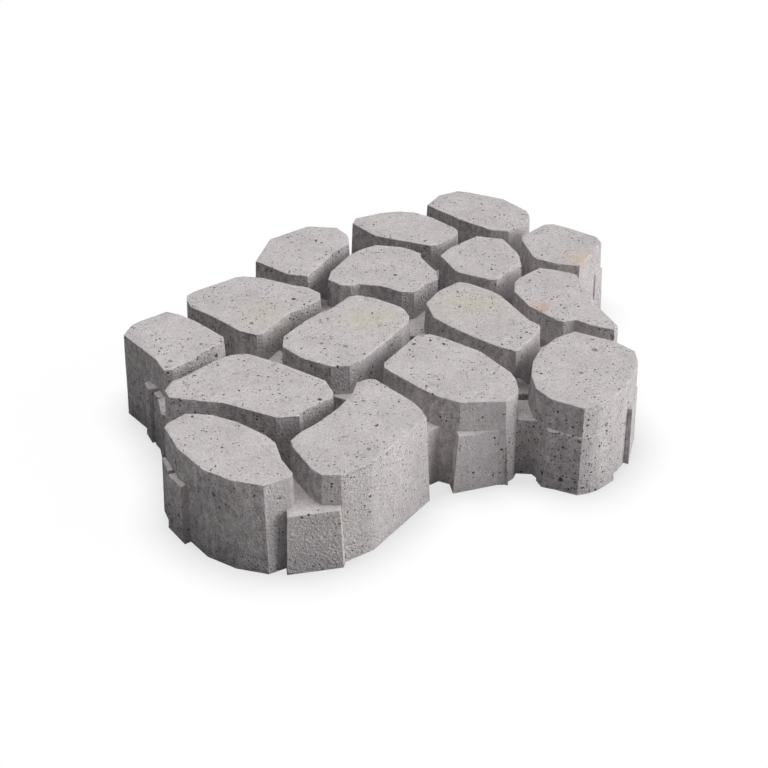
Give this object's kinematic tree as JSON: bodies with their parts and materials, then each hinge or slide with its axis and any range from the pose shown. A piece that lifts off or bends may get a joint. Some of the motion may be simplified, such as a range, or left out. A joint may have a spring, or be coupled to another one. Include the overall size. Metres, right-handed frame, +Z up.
{
  "type": "cobble-pattern paving slab",
  "caption": "Cast concrete paving slab that looks like loose irregular cobbles: open joints between them, low webs that hold them together, and spacer lugs on the sides.",
  "frame": {"origin": "centre of the slab's footprint, on the ground it is laid on", "axes": "+Z up, square to the walking face; +Y along the longer side of the slab, towards the back of the picture; +X to the right in the picture"},
  "size_m": [0.4406, 0.5096, 0.08],
  "materials": {
    "concrete": "matte, fine-grained cast concrete with small pits"
  },
  "bodies": {
    "root": {"paving_slab": "concrete"}
  },
  "joints": []
}
